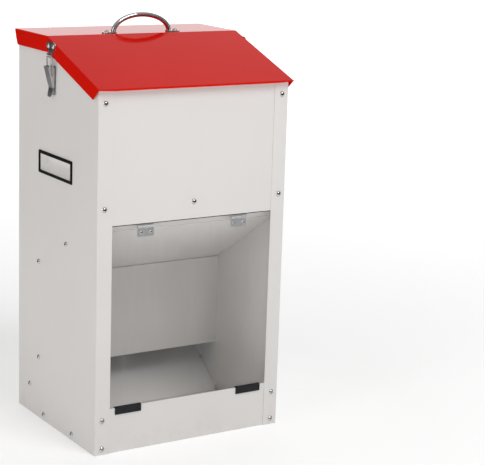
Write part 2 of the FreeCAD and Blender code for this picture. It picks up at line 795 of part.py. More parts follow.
def lid_hinge_lid_leaf():
    body_spans, lid_spans = lid_knuckle_spans()
    top = LID_TOP - SHEET
    bore = LID_PIN_R + RUNNING_GAP
    plate = box(-LID_HINGE_HALF, LID_HINGE_HALF, LID_LEAF_FRONT, LID_PIN_Y, top - LEAF_T, top)
    clear_y = LID_PIN_Y - LID_KNUCKLE_R - 0.5
    far_y = LID_PIN_Y + NOTCH_REACH
    low = LID_PIN_Z - NOTCH_REACH
    high = LID_PIN_Z + NOTCH_REACH
    notches = [
        box(a - NOTCH_SLACK, b + NOTCH_SLACK, clear_y, far_y, low, high)
        for a, b in body_spans
    ]
    plate = plate.cut(notches)
    plate = plate.cut(rod(V(-200, LID_PIN_Y, LID_PIN_Z), X_AXIS, bore, 400))
    rings = [knuckle(a, b, LID_PIN_Y, LID_PIN_Z, LID_KNUCKLE_R, bore) for a, b in lid_spans]
    ends = box(-LID_HINGE_HALF, LID_HINGE_HALF, clear_y, far_y, low, high)
    slack = [box(a, b, clear_y, far_y, low, high) for a, b in lid_spans]
    plate = plate.cut(ends.cut(slack))
    return drill(fuse([plate] + rings), axes_of(lid_leaf_rivet_places()), LEAF_RIVET_R)


def lid_hinge_pin():
    reach = LID_HINGE_HALF + 1.0
    return rod(V(-reach, LID_PIN_Y, LID_PIN_Z), X_AXIS, LID_PIN_R, 2 * reach)


def lid_hinge_body_rivets():
    made = [rivet(p, d, g, 3.2, 1.2, LEAF_RIVET_R, 3.0) for p, d, g in body_leaf_rivet_places()]
    return Part.makeCompound(made)


def lid_hinge_lid_rivets():
    made = [rivet(p, d, g, 0, 0, LEAF_RIVET_R, 3.0, 1.2) for p, d, g in lid_leaf_rivet_places()]
    return Part.makeCompound(made)


# ----------------------------------------------------------------------- lid

def skirt_outline():
    """The (y, z) outline of a side skirt, with its relief round the hinge."""
    drop = SHEET / 2
    flat_bottom = LID_TOP - SKIRT_DEPTH
    meet_y = (flat_bottom - slope_z(0, SLOPE_SKIRT_DEPTH)) / math.tan(LID_SLOPE)
    front_y = LID_EAVE_Y + SHEET
    outline = [
        (front_y, slope_z(front_y, drop)),
        (LID_BEND_Y, LID_TOP - drop),
        (LID_REAR_Y, LID_TOP - drop),
    ]
    outline += list(SKIRT_RELIEF)
    outline.append((meet_y, flat_bottom))
    outline.append((SKIRT_TIP_Y, slope_z(SKIRT_TIP_Y, SLOPE_SKIRT_DEPTH)))
    return outline


def eave_lip_trim():
    """The wedge cut from the left end of the lip that turns down at the eave."""
    high = slope_z(LID_EAVE_Y, SHEET)
    inner_x = -LID_HALF_W + EAVE_LIP_TAPER
    corners = [
        V(-LID_HALF_W - 1, LID_EAVE_Y - 1, high),
        V(inner_x, LID_EAVE_Y - 1, EAVE_LIP_BOTTOM),
        V(inner_x, LID_EAVE_Y - 1, EAVE_LIP_BOTTOM - 5),
        V(-LID_HALF_W - 1, LID_EAVE_Y - 1, EAVE_LIP_BOTTOM - 5),
    ]
    return prism(corners, V(0, SHEET + 1 + EAVE_BEND_R, 0))


def lid_shell():
    """The folded lid: flat rear part, sloping front, turned-down eave and side skirts."""
    half = SHEET / 2
    mid_z = LID_TOP - half
    lip_y = LID_EAVE_Y + half
    path = [
        (LID_REAR_Y, mid_z),
        (LID_BEND_Y + half * math.tan(LID_SLOPE / 2), mid_z),
        (lip_y, slope_z(lip_y, half)),
        (lip_y, EAVE_LIP_BOTTOM),
    ]
    top = yz_sheet(path, -LID_HALF_W, LID_HALF_W, radius=EAVE_BEND_R)
    top = top.cut(both_sides(eave_lip_trim()))
    skirt = side_prism(skirt_outline(), -LID_HALF_W, -LID_HALF_W + SHEET)
    shell = fuse([top] + both_sides(skirt))
    shell = shell.makeFillet(1.0, long_lid_edges(shell))
    shell = drill(shell, axes_of(lid_leaf_rivet_places()), LEAF_RIVET_R)
    shell = drill(shell, axes_of(handle_screw_places()))
    rivets = keeper_rivet_places()
    return drill(shell, axes_of(rivets) + mirrored_axes(rivets), KEEPER_RIVET_R, 6.0)


def long_lid_edges(shell):
    """The folds between the lid's top and its skirts."""
    found = []
    for edge in shell.Edges:
        middle = edge.CenterOfMass
        on_side = abs(abs(middle.x) - LID_HALF_W) < 0.05
        on_top = abs(middle.z - (LID_TOP if middle.y > LID_BEND_Y else slope_z(middle.y))) < 0.05
        if on_side and on_top and edge.Length > 50:
            found.append(edge)
    return found


def handle_screw_places():
    top = LID_TOP + FOOT_T
    return [
        (V(x, HANDLE_Y, top), Z_AXIS, FOOT_T + SHEET) for x in (-HANDLE_SCREW_X, HANDLE_SCREW_X)
    ]


def lid_handle():
    """A chromed arch of round bar on two flattened feet."""
    base_z = LID_TOP + FOOT_T / 2
    rise = HANDLE_TOP - HANDLE_R - base_z
    ellipse = Part.Ellipse(V(0, HANDLE_Y, base_z), HANDLE_HALF, rise)
    ellipse.Axis = V(0, -1, 0)
    ellipse.XAxis = X_AXIS
    arch = Part.Wire([ellipse.toShape(0, math.pi)])
    start = arch.Vertexes[0].Point
    section = Part.Wire([Part.makeCircle(HANDLE_R, start, Z_AXIS)])
    bar = arch.makePipeShell([section], True, True)
    bar = bar.cut(box(-100, 100, 0, 100, base_z - 20, LID_TOP))
    foot_x0 = HANDLE_HALF - 3.0
    half = FOOT_W / 2
    foot = box(foot_x0, FOOT_END_X - half, HANDLE_Y - half, HANDLE_Y + half, LID_TOP, LID_TOP + FOOT_T)
    tip = rod(V(FOOT_END_X - half, HANDLE_Y, LID_TOP), Z_AXIS, half, FOOT_T)
    handle = fuse([bar] + both_sides(foot) + both_sides(tip))
    return drill(handle, axes_of(handle_screw_places()), SCREW_HOLE_R, 8.0)


# ------------------------------------------------------------------- latches

def keeper_rivet_places():
    face = -LID_HALF_W - KEEPER_T
    return [
        (V(face, LATCH_Y + side * KEEPER_RIVET_PITCH / 2, KEEPER_RIVET_Z), V(-1, 0, 0), KEEPER_T + SHEET)
        for side in (-1, 1)
    ]


def latch_base_rivet_places():
    face = -HALF_W - SHEET
    return [(V(face, LATCH_Y, z), V(-1, 0, 0), 2 * SHEET) for z in BASE_RIVET_Z]


def left_latch_keeper():
    """The catch on the lid's skirt: a rounded plate that narrows to a hook."""
    outer = -LID_HALF_W - KEEPER_T
    low, high = KEEPER_Z
    y0 = LATCH_Y - KEEPER_HALF_W
    y1 = LATCH_Y + KEEPER_HALF_W
    plate = rounded_block(y0, y1, low, high, outer, -LID_HALF_W, KEEPER_CORNER_R)
    half = KEEPER_NECK_W / 2
    neck_points = [
        V(outer, LATCH_Y - half - KEEPER_SHOULDER, low + 2.5),
        V(outer, LATCH_Y - half, HOOK_Z + 3.2),
        V(outer, LATCH_Y - half, HOOK_Z),
        V(outer, LATCH_Y + half, HOOK_Z),
        V(outer, LATCH_Y + half, HOOK_Z + 3.2),
        V(outer, LATCH_Y + half + KEEPER_SHOULDER, low + 2.5),
    ]
    neck = prism(neck_points, V(KEEPER_T, 0, 0))
    centre_x = outer - HOOK_R
    hook_out = centre_x - HOOK_R - HOOK_T
    trough = rod(V(centre_x, LATCH_Y - half, HOOK_Z), Y_AXIS, HOOK_R + HOOK_T, KEEPER_NECK_W)
    hollow = rod(V(centre_x, LATCH_Y - half - 1, HOOK_Z), Y_AXIS, HOOK_R, KEEPER_NECK_W + 2)
    lower_half = box(hook_out, -LID_HALF_W, LATCH_Y - half, LATCH_Y + half, HOOK_Z - 5, HOOK_Z)
    bend = trough.cut(hollow).common(lower_half)
    lip_top = HOOK_Z + HOOK_LIP
    lip = box(hook_out, hook_out + HOOK_T, LATCH_Y - half, LATCH_Y + half, HOOK_Z, lip_top)
    keeper = fuse([plate, neck, bend, lip])
    return drill(keeper, axes_of(keeper_rivet_places()), KEEPER_RIVET_R, 6.0)


def left_keeper_rivets():
    made = [rivet(p, d, g, 4.0, 2.2, KEEPER_RIVET_R, 3.0, 1.0) for p, d, g in keeper_rivet_places()]
    return Part.makeCompound(made)


def left_latch_base():
    """The latch's base plate with two ears that carry the lever's pivot."""
    outer = -HALF_W - SHEET
    y0 = LATCH_Y - BASE_HALF_W
    y1 = LATCH_Y + BASE_HALF_W
    plate = rounded_block(y0, y1, BASE_Z[0], BASE_Z[1], outer, -HALF_W, 3.0)
    px = LATCH_PIVOT.x
    pz = LATCH_PIVOT.z
    outline = [
        (outer + 0.3, pz - 1.0),
        (px + EAR_EYE_R * 0.5, pz + EAR_EYE_R * 0.866),
        (px - EAR_EYE_R * 0.866, pz - EAR_EYE_R * 0.5),
        (outer + 0.3, pz - 13.0),
    ]
    ears = []
    for inner in (LATCH_Y - EAR_HALF, LATCH_Y + EAR_HALF - EAR_T):
        web = prism([V(x, inner, z) for x, z in outline], V(0, EAR_T, 0))
        eye = rod(V(px, inner, pz), Y_AXIS, EAR_EYE_R, EAR_T)
        ears.append(web.fuse(eye))
    base = fuse([plate] + ears)
    base = base.cut(rod(V(px, LATCH_Y - 12, pz), Y_AXIS, LATCH_PIVOT_R, 24))
    return drill(base, axes_of(latch_base_rivet_places()), BASE_RIVET_R, 6.0)


def left_latch_base_rivets():
    made = [rivet(p, d, g, 3.2, 1.3, BASE_RIVET_R, 3.4, 1.0) for p, d, g in latch_base_rivet_places()]
    return Part.makeCompound(made)


def left_latch_pin():
    start = V(LATCH_PIVOT.x, LATCH_Y - LEVER_HALF, LATCH_PIVOT.z)
    return rod(start, Y_AXIS, LATCH_PIVOT_R, 2 * LEVER_HALF)


def left_latch_lever():
    """The folded lever: two cheeks, an outer web that leans inward and a finger tab."""
    px = LATCH_PIVOT.x
    pz = LATCH_PIVOT.z
    path = [(px + x, pz + z) for x, z in LEVER_WEB]
    cheek_outline = [
        path[0],
        (px, pz + LEVER_HEAD_R),
        (LEVER_WALL_X, pz + LEVER_CHEEK_Z[0]),
        (LEVER_WALL_X, pz + LEVER_CHEEK_Z[1]),
        path[1],
    ]
    cheeks = []
    for inner in (LATCH_Y - LEVER_HALF, LATCH_Y + LEVER_HALF - LEVER_T):
        cheek = prism([V(x, inner, z) for x, z in cheek_outline], V(0, LEVER_T, 0))
        head = rod(V(px, inner, pz), Y_AXIS, LEVER_HEAD_R, LEVER_T)
        cheeks.append(cheek.fuse(head))
    start = LATCH_Y - LEVER_HALF
    web = bent_sheet(
        path, LEVER_T, 3.0, lambda x, z: V(x, start, z), V(0, 2 * LEVER_HALF, 0)
    )
    lever = fuse(cheeks + [web])
    lever = lever.common(lever_plan())
    bore = LATCH_PIVOT_R + RUNNING_GAP
    lever = lever.cut(rod(V(px, LATCH_Y - 12, pz), Y_AXIS, bore, 24))
    hole = BAIL_R + RUNNING_GAP
    return lever.cut(rod(V(BAIL_PIVOT.x, LATCH_Y - 12, BAIL_PIVOT.z), Y_AXIS, hole, 24))


def lever_plan():
    """The lever's outline seen from the side of the feeder, ending in a rounded tab."""
    half_outline = [(LEVER_HALF - inset, LATCH_PIVOT.z + z) for inset, z in LEVER_EDGE]
    outline = [V(-200, LATCH_Y + y, z) for y, z in half_outline]
    outline += [V(-200, LATCH_Y - y, z) for y, z in reversed(half_outline)]
    return prism(outline, V(40, 0, 0))


def left_latch_bail():
    """The wire loop: two legs, a top bar, and ends turned into the lever."""
    corner = 3.0
    leg_x = BAIL_PIVOT.x
    low = BAIL_PIVOT.z
    top = V(BAIL_TOP_X, 0, BAIL_TOP_Z)
    up = V(top.x - leg_x, 0, top.z - low)
    up.normalize()

    def at(y, along):
        return V(leg_x, LATCH_Y + y, low) + up * along

    height = math.hypot(top.x - leg_x, top.z - low)
    reach = BAIL_HALF
    end = EAR_HALF + 0.5
    diag = corner * (1 - math.sqrt(0.5))
    edges = [
        Part.LineSegment(at(-end, 0), at(-reach + corner / 2, 0)).toShape(),
        Part.Arc(
            at(-reach + corner / 2, 0),
            at(-reach + diag / 2, diag / 2),
            at(-reach, corner / 2),
        ).toShape(),
        Part.LineSegment(at(-reach, corner / 2), at(-reach, height - corner)).toShape(),
        Part.Arc(
            at(-reach, height - corner),
            at(-reach + diag, height - diag),
            at(-reach + corner, height),
        ).toShape(),
        Part.LineSegment(at(-reach + corner, height), at(reach - corner, height)).toShape(),
        Part.Arc(
            at(reach - corner, height),
            at(reach - diag, height - diag),
            at(reach, height - corner),
        ).toShape(),
        Part.LineSegment(at(reach, height - corner), at(reach, corner / 2)).toShape(),
        Part.Arc(
            at(reach, corner / 2),
            at(reach - diag / 2, diag / 2),
            at(reach - corner / 2, 0),
        ).toShape(),
        Part.LineSegment(at(reach - corner / 2, 0), at(end, 0)).toShape(),
    ]
    route = Part.Wire(edges)
    section = Part.Wire([Part.makeCircle(BAIL_R, at(-end, 0), Y_AXIS)])
    return route.makePipeShell([section], True, True)


# -------------------------------------------------------------------- output

def screw_group(places, **size):
    return Part.makeCompound([screw(p, d, g, **size) for p, d, g in places])


def nut_group(places, **size):
    return Part.makeCompound([hex_nut(p, d, g, **size) for p, d, g in places])


def left_and_right(name, shape):
    return {"left_" + name: shape, "right_" + name: mirrored(shape)}


def build():
    """Every node of the feeder, by name."""
    nodes = {
        "back_panel": back_panel(),
        "upper_front_panel": upper_front_panel(),
        "floor_pan": floor_pan(),
        "hopper_baffle": hopper_baffle(),
        "throttle_plate": throttle_plate(),
        "feed_ramp": feed_ramp(),
        "front_screws": screw_group(front_screw_places()),
        "front_nuts": nut_group(front_screw_places()),
        "back_screws": screw_group(back_screw_places()),
        "back_nuts": nut_group(back_screw_places()),
        "lid_shell": lid_shell(),
        "lid_handle": lid_handle(),
        "handle_screws": screw_group(handle_screw_places(), head_r=4.6, head_h=2.8),
        "handle_nuts": nut_group(handle_screw_places()),
        "lid_hinge_body_leaf": lid_hinge_body_leaf(),
        "lid_hinge_lid_leaf": lid_hinge_lid_leaf(),
        "lid_hinge_pin": lid_hinge_pin(),
        "lid_hinge_body_rivets": lid_hinge_body_rivets(),
        "lid_hinge_lid_rivets": lid_hinge_lid_rivets(),
        "flap_panel": flap_panel(),
        "flap_screws": flap_screws(),
        "flap_nuts": flap_nuts(),
        "flap_hinge_fixed_leaves": fixed_leaves(),
        "flap_hinge_moving_leaves": moving_leaves(),
        "flap_hinge_pins": flap_pins(),
        "flap_hinge_rivets": fixed_leaf_rivets(),
    }
    paired = {
        "side_panel": left_side_panel(),
        "side_screws": screw_group(side_screw_places()),
        "side_nuts": nut_group(side_screw_places()),
        "grip_trim": left_grip_trim(),
        "grip_pocket": left_grip_pocket(),
        "lip_guard": lip_guard(),
        "latch_base": left_latch_base(),
        "latch_base_rivets": left_latch_base_rivets(),
        "latch_pin": left_latch_pin(),
        "latch_lever": left_latch_lever(),
        "latch_bail": left_latch_bail(),
        "latch_keeper": left_latch_keeper(),
        "latch_keeper_rivets": left_keeper_rivets(),
    }
    for name, shape in paired.items():
        nodes.update(left_and_right(name, shape))
    return nodes


def main():
    os.makedirs("parts", exist_ok=True)
    for name, shape in build().items():
        if not shape.isValid() or not shape.Solids:
            raise SystemExit(f"{name} is not a valid solid")
        shape.exportStep(f"parts/{name}.step")
        print(f"{name}: {len(shape.Solids)} solid(s), {shape.Volume / 1000:.2f} cm3")


main()
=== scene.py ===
"""The looks of a sheet-steel gravity game feeder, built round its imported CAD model.

Everything is in metres, in the frame of the CAD model: +X is the feeder's right seen from
the front, +Y is its back, and +Z is up.
"""

import json
import math

import bmesh
import bpy
from mathutils import Matrix, Vector


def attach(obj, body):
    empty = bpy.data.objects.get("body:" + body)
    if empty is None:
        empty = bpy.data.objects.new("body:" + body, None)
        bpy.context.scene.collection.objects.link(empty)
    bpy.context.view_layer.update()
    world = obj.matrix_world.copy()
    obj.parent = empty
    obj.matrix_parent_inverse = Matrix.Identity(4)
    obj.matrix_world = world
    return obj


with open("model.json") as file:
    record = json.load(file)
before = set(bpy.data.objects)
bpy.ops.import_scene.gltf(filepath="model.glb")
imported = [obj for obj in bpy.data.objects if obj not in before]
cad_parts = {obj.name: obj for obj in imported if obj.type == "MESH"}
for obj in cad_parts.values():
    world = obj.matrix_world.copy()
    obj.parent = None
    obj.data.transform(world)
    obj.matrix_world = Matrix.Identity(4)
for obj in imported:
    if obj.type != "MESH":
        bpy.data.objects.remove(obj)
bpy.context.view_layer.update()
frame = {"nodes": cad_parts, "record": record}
nodes = frame["nodes"]
slot_of = {part["node"]: part["material_slot"] for part in frame["record"]["subparts"]}

# ------------------------------------------------------------------ camera

CAMERA_AT = (-1.2684, -2.2769, 0.9245)
CAMERA_HEADING = math.radians(32.593)
CAMERA_DROP = math.radians(12.902)
CAMERA_ROLL = math.radians(1.886)
CAMERA_LENS = 116.65
CAMERA_REACH = 100.0
SENSOR_WIDTH = 36.0


def make_camera():
    """The photograph's camera, given by where it stands, points and leans."""
    heading, drop = CAMERA_HEADING, CAMERA_DROP
    forward = Vector(
        (
            math.sin(heading) * math.cos(drop),
            math.cos(heading) * math.cos(drop),
            -math.sin(drop),
        )
    )
    right = Vector((math.cos(heading), -math.sin(heading), 0.0))
    down = forward.cross(right)
    roll_cos, roll_sin = math.cos(CAMERA_ROLL), math.sin(CAMERA_ROLL)
    across = right * roll_cos - down * roll_sin
    downward = right * roll_sin + down * roll_cos
    turn = Matrix((across, -downward, -forward)).transposed()
    data = bpy.data.cameras.new("camera")
    data.lens = CAMERA_LENS
    data.sensor_width = SENSOR_WIDTH
    data.clip_end = CAMERA_REACH
    camera = bpy.data.objects.new("camera", data)
    camera.matrix_world = Matrix.Translation(CAMERA_AT) @ turn.to_4x4()
    bpy.context.scene.collection.objects.link(camera)
    bpy.context.scene.camera = camera


# --------------------------------------------------------- floor and light

FLOOR_HALF = 14.0
FLOOR_GREY = (0.8, 0.8, 0.8)
# The floor glows a little by the feeder, and far off it glows enough to meet the backdrop.
FLOOR_GLOW_FROM = 0.5
FLOOR_GLOW_TO = 4.0
FLOOR_GLOW = (0.36, 0.95)
# One black card stands behind the feeder's left, and one lies just over the floor in front.
SIDE_FLAG = ((-1.5, 0.85, 0.0), (-0.4, 1.45, 0.0), (-0.4, 1.45, 0.62), (-1.5, 0.85, 0.62))
FRONT_FLAG = ((-4.0, -6.0, 0.004), (5.0, -6.0, 0.004), (5.0, -0.8, 0.004), (-4.0, -0.8, 0.004))
FLAG_BLACK = (0.004, 0.004, 0.004)
LIGHT_TARGET = (0.0, 0.0, 0.4)
# Each light is (name, place, width, height, watts, tint).
LIGHTS = (
    ("key", (0.45, -2.05, 2.75), 1.5, 1.5, 35.5, (1.0, 1.0, 1.0)),
    ("fill", (-2.9, -0.9, 1.6), 1.1, 1.6, 13.2, (1.0, 0.965, 0.94)),
)
# Each glow is (direction, where along it the glow starts, strength outside, at its heart).
WORLD_GLOWS = (
    ((0.52, 0.82, 0.24), 0.82, 0.0, 1.03),
    ((0.0, 0.0, 1.0), -0.1, 0.08, 0.50),
)


def make_floor():
    """A wide pale floor that holds a soft shadow close to the feeder."""
    mesh = bpy.data.meshes.new("floor")
    corners = [(-FLOOR_HALF, -FLOOR_HALF), (FLOOR_HALF, -FLOOR_HALF)]
    corners += [(FLOOR_HALF, FLOOR_HALF), (-FLOOR_HALF, FLOOR_HALF)]
    mesh.from_pydata([(x, y, 0.0) for x, y in corners], [], [(0, 1, 2, 3)])
    floor = bpy.data.objects.new("floor", mesh)
    bpy.context.scene.collection.objects.link(floor)
    r = Recipe("floor", Roughness=0.9, Specular_IOR_Level=0.1, Base_Color=rgb(*FLOOR_GREY))
    r.surface.inputs["Emission Color"].default_value = rgb(1.0, 1.0, 1.0)
    away = r.node("ShaderNodeVectorMath", operation="LENGTH")
    r.feed(away.inputs[0], r.place)
    glow = r.remap(away.outputs["Value"], FLOOR_GLOW_FROM, FLOOR_GLOW_TO, *FLOOR_GLOW)
    r.feed(r.surface.inputs["Emission Strength"], glow)
    mesh.materials.append(r.mat)


def make_world():
    """A soft studio: dimmer round the sides, bright towards the backdrop and overhead.

    The backdrop itself is plain white whichever way it is seen.
    """
    world = bpy.data.worlds.new("studio")
    world.use_nodes = True
    tree = world.node_tree
    background = tree.nodes["Background"]
    background.inputs["Color"].default_value = (1.0, 1.0, 1.0, 1.0)
    towards = tree.nodes.new("ShaderNodeTexCoord").outputs["Generated"]
    total = None
    for direction, painted_edge_look, low, high in WORLD_GLOWS:
        along = tree.nodes.new("ShaderNodeVectorMath")
        along.operation = "DOT_PRODUCT"
        tree.links.new(towards, along.inputs[0])
        along.inputs[1].default_value = direction
        glow = tree.nodes.new("ShaderNodeMapRange")
        glow.interpolation_type = "SMOOTHSTEP"
        tree.links.new(along.outputs["Value"], glow.inputs["Value"])
        glow.inputs["From Min"].default_value = painted_edge_look
        glow.inputs["From Max"].default_value = 1.0
        glow.inputs["To Min"].default_value = low
        glow.inputs["To Max"].default_value = high
        if total is None:
            total = glow.outputs["Result"]
            continue
        both = tree.nodes.new("ShaderNodeMath")
        both.operation = "ADD"
        tree.links.new(total, both.inputs[0])
        tree.links.new(glow.outputs["Result"], both.inputs[1])
        total = both.outputs["Value"]
    seen = tree.nodes.new("ShaderNodeLightPath").outputs["Is Camera Ray"]
    backdrop = tree.nodes.new("ShaderNodeMath")
    backdrop.operation = "MAXIMUM"
    tree.links.new(total, backdrop.inputs[0])
    tree.links.new(seen, backdrop.inputs[1])
    tree.links.new(backdrop.outputs["Value"], background.inputs["Strength"])
    bpy.context.scene.world = world


def make_flag(name, corners):
    """A black card seen by nothing but gloss, as a photographer shades a bright part."""
    mesh = bpy.data.meshes.new(name)
    mesh.from_pydata(corners, [], [(0, 1, 2, 3)])
    flag = bpy.data.objects.new(name, mesh)
    bpy.context.scene.collection.objects.link(flag)
    r = Recipe(name, Roughness=1.0, Specular_IOR_Level=0.0, Base_Color=rgb(*FLAG_BLACK))
    mesh.materials.append(r.mat)
    flag.visible_camera = False
    flag.visible_diffuse = False
    flag.visible_shadow = False


def make_lights():
    """Soft rectangles that face the feeder, out of the camera's sight."""
    for name, place, width, height, watts, tint in LIGHTS:
        data = bpy.data.lights.new(name, "AREA")
        data.shape = "RECTANGLE"
        data.size = width
        data.size_y = height
        data.energy = watts
        data.color = tint
        light = bpy.data.objects.new(name, data)
        light.location = place
        aim = Vector(LIGHT_TARGET) - Vector(place)
        light.rotation_euler = aim.to_track_quat("-Z", "Y").to_euler()
        light.visible_camera = False
        bpy.context.scene.collection.objects.link(light)


# ---------------------------------------------------------------- materials

WELD_GAP = 0.00001
FLAT_ANGLE = math.radians(0.3)
SHARP_ANGLE = math.radians(35.0)
EDGE_STEPS = 2
EDGE_WIDTHS = {"white_powder_coat": 0.0003, "red_gloss_paint": 0.0004}


class Recipe:
    """Short ways of wiring the nodes of one material.

    Patterns are fixed in each part's own space, and their scales are in cycles per metre.
    """

    def __init__(self, name, **constants):
        self.mat = bpy.data.materials.new(name)
        self.mat.use_nodes = True
        self.tree = self.mat.node_tree
        self.surface = self.tree.nodes["Principled BSDF"]
        for socket, value in constants.items():
            self.surface.inputs[socket.replace("_", " ")].default_value = value
        self.place = self.tree.nodes.new("ShaderNodeTexCoord").outputs["Object"]

    def node(self, kind, **settings):
        made = self.tree.nodes.new(kind)
        for key, value in settings.items():
            setattr(made, key, value)
        return made

    def feed(self, socket, value):
        if isinstance(value, bpy.types.NodeSocket):
            self.tree.links.new(value, socket)
        else:
            socket.default_value = value

    def stretched(self, scale):
        mapping = self.node("ShaderNodeMapping")
        self.feed(mapping.inputs["Vector"], self.place)
        mapping.inputs["Scale"].default_value = scale
        return mapping.outputs["Vector"]

    def noise(self, scale, detail=3.0, roughness=0.5, at=None):
        made = self.node("ShaderNodeTexNoise")
        self.feed(made.inputs["Vector"], at or self.place)
        made.inputs["Scale"].default_value = scale
        made.inputs["Detail"].default_value = detail
        made.inputs["Roughness"].default_value = roughness
        return made.outputs["Fac"]

    def cells(self, scale):
        made = self.node("ShaderNodeTexVoronoi", feature="F1")
        self.feed(made.inputs["Vector"], self.place)
        made.inputs["Scale"].default_value = scale
        return made.outputs["Distance"]

    def remap(self, value, low, high, to_low=0.0, to_high=1.0):
        made = self.node("ShaderNodeMapRange")
        self.feed(made.inputs["Value"], value)
        made.inputs["From Min"].default_value = low
        made.inputs["From Max"].default_value = high
        made.inputs["To Min"].default_value = to_low
        made.inputs["To Max"].default_value = to_high
        return made.outputs["Result"]

    def math(self, operation, first, second):
        made = self.node("ShaderNodeMath", operation=operation)
        self.feed(made.inputs[0], first)
        self.feed(made.inputs[1], second)
        return made.outputs["Value"]

    def mix(self, factor, first, second):
        made = self.node("ShaderNodeMix", data_type="RGBA")
        self.feed(made.inputs["Factor"], factor)
        self.feed(made.inputs["A"], first)
        self.feed(made.inputs["B"], second)
        return made.outputs["Result"]

    def axis(self, letter, vector=None):
        made = self.node("ShaderNodeSeparateXYZ")
        self.feed(made.inputs["Vector"], vector or self.place)
        return made.outputs[letter]

    def bump(self, height, distance, strength, under=None):
        made = self.node("ShaderNodeBump")
        self.feed(made.inputs["Height"], height)
        made.inputs["Distance"].default_value = distance
        made.inputs["Strength"].default_value = strength
        if under:
            self.feed(made.inputs["Normal"], under)
        return made.outputs["Normal"]

    def colour(self, value):
        self.feed(self.surface.inputs["Base Color"], value)

    def roughness(self, value):
        self.feed(self.surface.inputs["Roughness"], value)

    def normal(self, value):
        self.feed(self.surface.inputs["Normal"], value)


def rgb(red, green, blue):
    return (red, green, blue, 1.0)


def white_powder_coat():
    """Faintly cloudy white with tiny specks, fine orange peel, and dust close to the floor."""
    r = Recipe("white_powder_coat", Specular_IOR_Level=0.4)
    cloud = r.remap(r.noise(scale=3.0, detail=4.0), low=0.35, high=0.65)
    clean = r.mix(cloud, rgb(0.808, 0.785, 0.765), rgb(0.778, 0.755, 0.737))
    specks = r.remap(r.noise(scale=1400.0, detail=2.0), low=0.62, high=0.75, to_high=0.10)
    coat = r.mix(specks, clean, rgb(0.60, 0.59, 0.58))
    low_down = r.remap(r.axis("Z"), low=0.05, high=0.0, to_high=0.22)
    patches = r.remap(r.noise(scale=38.0, detail=6.0, roughness=0.65), low=0.45, high=0.75)
    dust = r.math("MULTIPLY", low_down, patches)
    r.colour(r.mix(dust, coat, rgb(0.52, 0.49, 0.45)))
    handled = r.noise(scale=45.0, detail=5.0, roughness=0.6)
    r.roughness(r.remap(handled, low=0.3, high=0.7, to_low=0.36, to_high=0.50))
    peel = r.bump(r.noise(scale=620.0, detail=2.0), distance=0.00006, strength=0.5)
    waves = r.noise(scale=4.0, detail=1.0)
    r.normal(r.bump(waves, distance=0.0006, strength=0.35, under=peel))
    return r.mat


def red_gloss_paint():
    """Smooth red whose gloss stays weak and a little red, over a sheet that is hardly wavy."""
    r = Recipe("red_gloss_paint", Specular_IOR_Level=0.09, Specular_Tint=rgb(1.0, 0.08, 0.06))
    cloud = r.remap(r.noise(scale=5.0, detail=4.0), low=0.35, high=0.65)
    r.colour(r.mix(cloud, rgb(0.72, 0.011, 0.004), rgb(0.69, 0.009, 0.004)))
    handled = r.noise(scale=60.0, detail=5.0, roughness=0.65)
    r.roughness(r.remap(handled, low=0.35, high=0.7, to_low=0.045, to_high=0.10))
    peel = r.bump(r.noise(scale=420.0, detail=2.0), distance=0.00002, strength=0.3)
    waves = r.noise(scale=5.0, detail=1.0)
    r.normal(r.bump(waves, distance=0.0003, strength=0.3, under=peel))
    return r.mat


def chrome_bar():
    """Plated bar, sharp where it is clean and duller where it is held."""
    r = Recipe("chrome_bar", Metallic=1.0)
    stain = r.noise(scale=90.0, detail=4.0)
    r.colour(r.mix(stain, rgb(0.54, 0.54, 0.55), rgb(0.64, 0.64, 0.64)))
    held = r.noise(scale=120.0, detail=5.0, roughness=0.7)
    r.roughness(r.remap(held, low=0.4, high=0.75, to_low=0.04, to_high=0.14))
    r.normal(r.bump(r.noise(scale=900.0, detail=2.0), distance=0.00001, strength=0.3))
    return r.mat


def bright_steel():
    """Polished screw and rivet heads."""
    r = Recipe("bright_steel", Metallic=1.0)
    stain = r.noise(scale=300.0)
    r.colour(r.mix(stain, rgb(0.50, 0.50, 0.51), rgb(0.66, 0.66, 0.66)))
    worn = r.noise(scale=500.0, detail=4.0, roughness=0.7)
    r.roughness(r.remap(worn, low=0.35, high=0.75, to_low=0.06, to_high=0.18))
    r.normal(r.bump(r.noise(scale=2500.0, detail=2.0), distance=0.00001, strength=0.3))
    return r.mat


def latch_steel():
    """Nickel-plated pressings with a fine tumbled grain."""
    r = Recipe("latch_steel", Metallic=1.0)
    tumbled = r.noise(scale=2200.0, detail=4.0, roughness=0.6)
    r.colour(r.mix(tumbled, rgb(0.55, 0.54, 0.54), rgb(0.67, 0.66, 0.66)))
    worn = r.noise(scale=300.0, detail=4.0, roughness=0.7)
    r.roughness(r.remap(worn, low=0.35, high=0.7, to_low=0.27, to_high=0.38))
    r.normal(r.bump(tumbled, distance=0.00001, strength=0.2))
    return r.mat


def zinc_steel():
    """Zinc plate with a small spangle, brushed along X."""
    r = Recipe("zinc_steel", Metallic=0.86)
    spangle = r.cells(scale=460.0)
    r.colour(r.mix(spangle, rgb(0.62, 0.63, 0.65), rgb(0.76, 0.76, 0.75)))
    along_x = r.stretched((1.0, 40.0, 40.0))
    brushed = r.noise(scale=40.0, detail=4.0, roughness=0.6, at=along_x)
    r.roughness(r.remap(brushed, low=0.3, high=0.7, to_low=0.38, to_high=0.54))
    r.normal(r.bump(brushed, distance=0.00002, strength=0.4))
    return r.mat


